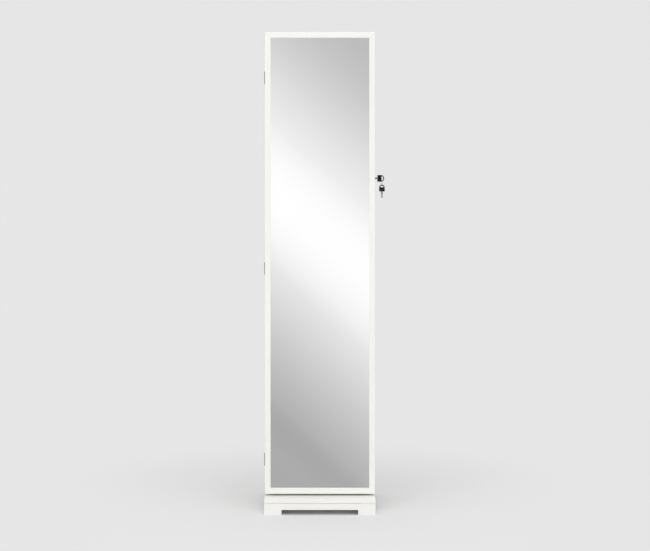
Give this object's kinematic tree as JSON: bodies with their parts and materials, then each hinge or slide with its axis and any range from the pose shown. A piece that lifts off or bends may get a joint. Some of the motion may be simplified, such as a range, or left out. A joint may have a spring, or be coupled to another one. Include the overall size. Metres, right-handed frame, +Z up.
{
  "type": "jewelry cabinet",
  "caption": "Tall narrow jewelry cabinet with a full-length mirror door, turning on a low square base, with a side lock and keys.",
  "frame": {"origin": "on the floor, on the swivel axis, under the middle of the square base", "axes": "+Z up, -Y towards the person at the mirror, +X to that person's right, where the lock is"},
  "size_m": [0.4059, 0.368, 1.6],
  "materials": {
    "backing_board": "plain brown hardboard",
    "bar_metal": "satin metal",
    "bearing_steel": "zinc plated steel",
    "catch_plastic": "white plastic",
    "glide_plastic": "dark low-friction plastic",
    "hinge_steel": "plain steel",
    "key_plastic": "black moulded plastic",
    "key_steel": "nickel plated steel",
    "lining_cloth": "short dark velvet",
    "lock_chrome": "bright plated metal",
    "mirror_glass": "clear silvered glass",
    "peg_nickel": "satin nickel",
    "raw_wood": "unpainted pale wood",
    "ring_velvet": "padded dark velvet",
    "tray_wood": "white painted wood",
    "white_lacquer": "smooth satin white lacquer"
  },
  "bodies": {
    "base": {"base_top": "white_lacquer", "corner_blocks": "raw_wood", "plinth_back": "white_lacquer", "plinth_front": "white_lacquer", "plinth_left": "white_lacquer", "plinth_right": "white_lacquer", "turntable_glide_ring": "glide_plastic", "turntable_lower_plate": "bearing_steel"},
    "cabinet": {"back_lining": "lining_cloth", "case_back": "white_lacquer", "case_bottom": "white_lacquer", "case_side_left": "white_lacquer", "case_side_right": "white_lacquer", "case_top": "white_lacquer", "hinge_low_case_leaf": "hinge_steel", "hinge_middle_case_leaf": "hinge_steel", "hinge_pins": "hinge_steel", "hinge_top_case_leaf": "hinge_steel", "lock_body": "lock_chrome", "lock_nut": "lock_chrome", "magnet_catch": "catch_plastic", "necklace_pegs": "peg_nickel", "necklace_rail": "tray_wood", "ring_rolls": "ring_velvet", "ring_tray": "tray_wood", "shelf_low": "white_lacquer", "shelf_middle": "white_lacquer", "shelf_ring": "white_lacquer", "shelf_top": "white_lacquer", "turntable_upper_plate": "bearing_steel"},
    "door": {"catch_plate": "bearing_steel", "door_backing": "backing_board", "door_battens": "raw_wood", "door_lining": "lining_cloth", "door_mirror": "mirror_glass", "door_rail_bottom": "white_lacquer", "door_rail_top": "white_lacquer", "door_stile_hinge": "white_lacquer", "door_stile_lock": "white_lacquer", "ear_bar_lower": "bar_metal", "ear_bar_upper": "bar_metal", "hinge_low_door_leaf": "hinge_steel", "hinge_middle_door_leaf": "hinge_steel", "hinge_top_door_leaf": "hinge_steel", "strike": "bearing_steel"},
    "lock_plug": {"lock_plug": "lock_chrome", "lock_cam": "lock_chrome", "cam_screw": "lock_chrome"},
    "key": {"key_blade": "key_steel", "key_bow": "key_plastic"},
    "key_ring": {"key_ring": "key_steel"},
    "spare_key": {"spare_key_blade": "key_steel", "spare_key_bow": "key_plastic"}
  },
  "joints": [
    {"name": "cabinet_swivel", "type": "hinge", "parent": "base", "child": "cabinet", "pos_m": [0, 0, 0.053], "axis": [0, 0, 1], "continuous": true},
    {"name": "door_swing", "type": "hinge", "parent": "cabinet", "child": "door", "pos_m": [-0.1842, -0.1052, 0.8], "axis": [0, 0, -1], "range_deg": [0, 170]},
    {"name": "lock_turn", "type": "hinge", "parent": "cabinet", "child": "lock_plug", "pos_m": [0.1855, -0.0804, 1.1124], "axis": [-1, 0, 0], "range_deg": [0, 90]},
    {"name": "key_pull", "type": "slide", "parent": "lock_plug", "child": "key", "axis": [1, 0, 0], "range_m": [0, 0.015]},
    {"name": "key_ring_hang", "type": "hinge", "parent": "key", "child": "key_ring", "pos_m": [0.20938, -0.0804, 1.10336], "axis": [-1, 0, 0], "range_deg": [-90, 0]},
    {"name": "spare_key_swing", "type": "hinge", "parent": "key_ring", "child": "spare_key", "pos_m": [0.20938, -0.0804, 1.08721], "axis": [0, 1, 0], "range_deg": [-30, 30]}
  ],
  "couplings": [
    {"joint": "key_ring_hang", "follows": "lock_turn", "ratio": -1}
  ]
}
